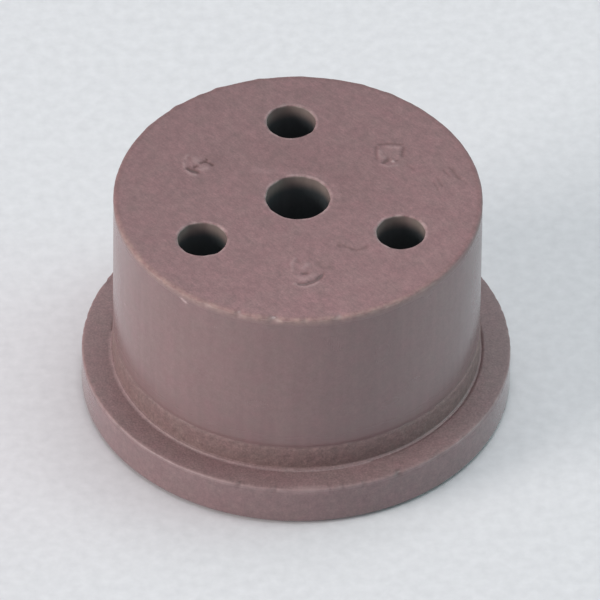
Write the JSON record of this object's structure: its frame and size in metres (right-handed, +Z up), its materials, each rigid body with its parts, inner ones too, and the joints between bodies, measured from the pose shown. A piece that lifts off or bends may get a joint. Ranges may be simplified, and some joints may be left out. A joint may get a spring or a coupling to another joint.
{
  "type": "rubber stopper",
  "caption": "Moulded rubber plug on a thin round flange, bored right through for a clamp screw and for tubes, that closes the neck of a small tank or bottle.",
  "frame": {"origin": "middle of the flange's underside, on the axis of the plug and the screw hole", "axes": "+Z up the plug's axis towards its free end, +Y through one of the tube holes"},
  "size_m": [0.0256, 0.0256, 0.0147],
  "materials": {
    "moulded_rubber": "mauve-brown moulded rubber, satin on the plug's wall and matt on the end face and flange"
  },
  "bodies": {
    "root": {"stopper": "moulded_rubber"}
  },
  "joints": []
}
